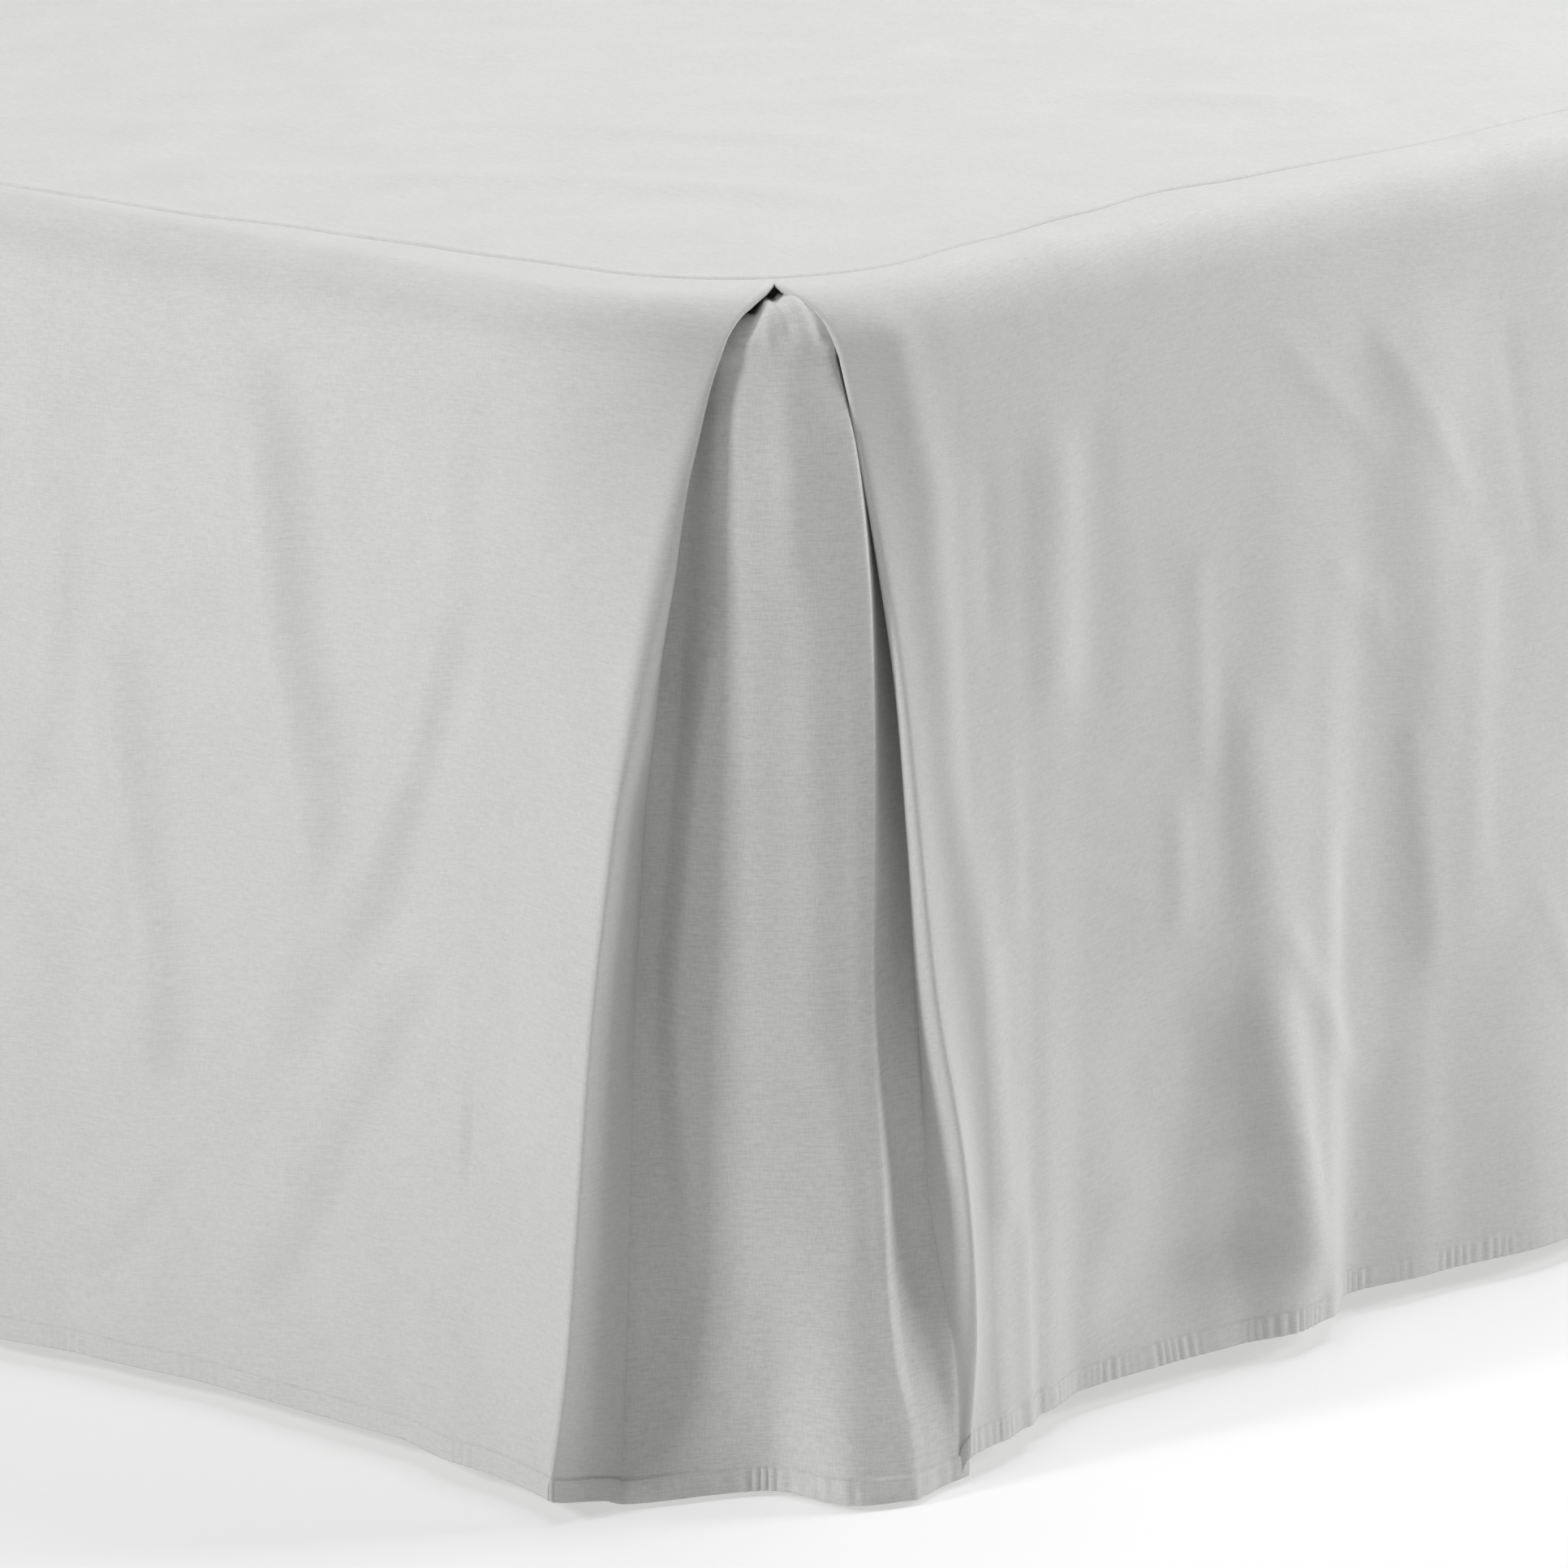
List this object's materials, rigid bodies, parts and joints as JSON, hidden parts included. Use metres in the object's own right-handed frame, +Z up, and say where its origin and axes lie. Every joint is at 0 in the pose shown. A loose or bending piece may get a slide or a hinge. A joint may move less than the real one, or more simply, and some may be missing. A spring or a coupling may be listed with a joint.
{
  "type": "bed skirt on bed base",
  "caption": "Light grey woven bed skirt with a flat deck, hanging side and foot panels and inverted corner pleats, on a plain bed base with legs.",
  "frame": {"origin": "on the floor under the middle of the whole object's box", "axes": "+X to the right seen from the foot end, +Y from the foot end to the head end, +Z up"},
  "size_m": [1.6718, 2.0409, 0.5306],
  "materials": {
    "deck_cloth": "pale grey plain-woven cotton and linen, matte, faintly wrinkled",
    "skirt_cloth": "light grey heathered plain weave of cotton and linen, matte, with fine slubs and a narrow stitched hem",
    "base_cloth": "plain grey upholstery cloth, matte",
    "leg_wood": "stained wood, satin"
  },
  "bodies": {
    "root": {"deck": "deck_cloth", "skirt_foot": "skirt_cloth", "skirt_side_right": "skirt_cloth", "skirt_side_left": "skirt_cloth", "pleat_insert_right": "skirt_cloth", "pleat_insert_left": "skirt_cloth", "bed_base": "base_cloth", "leg_right_foot": "leg_wood", "leg_right_middle": "leg_wood", "leg_right_head": "leg_wood", "leg_left_foot": "leg_wood", "leg_left_middle": "leg_wood", "leg_left_head": "leg_wood"}
  },
  "joints": []
}
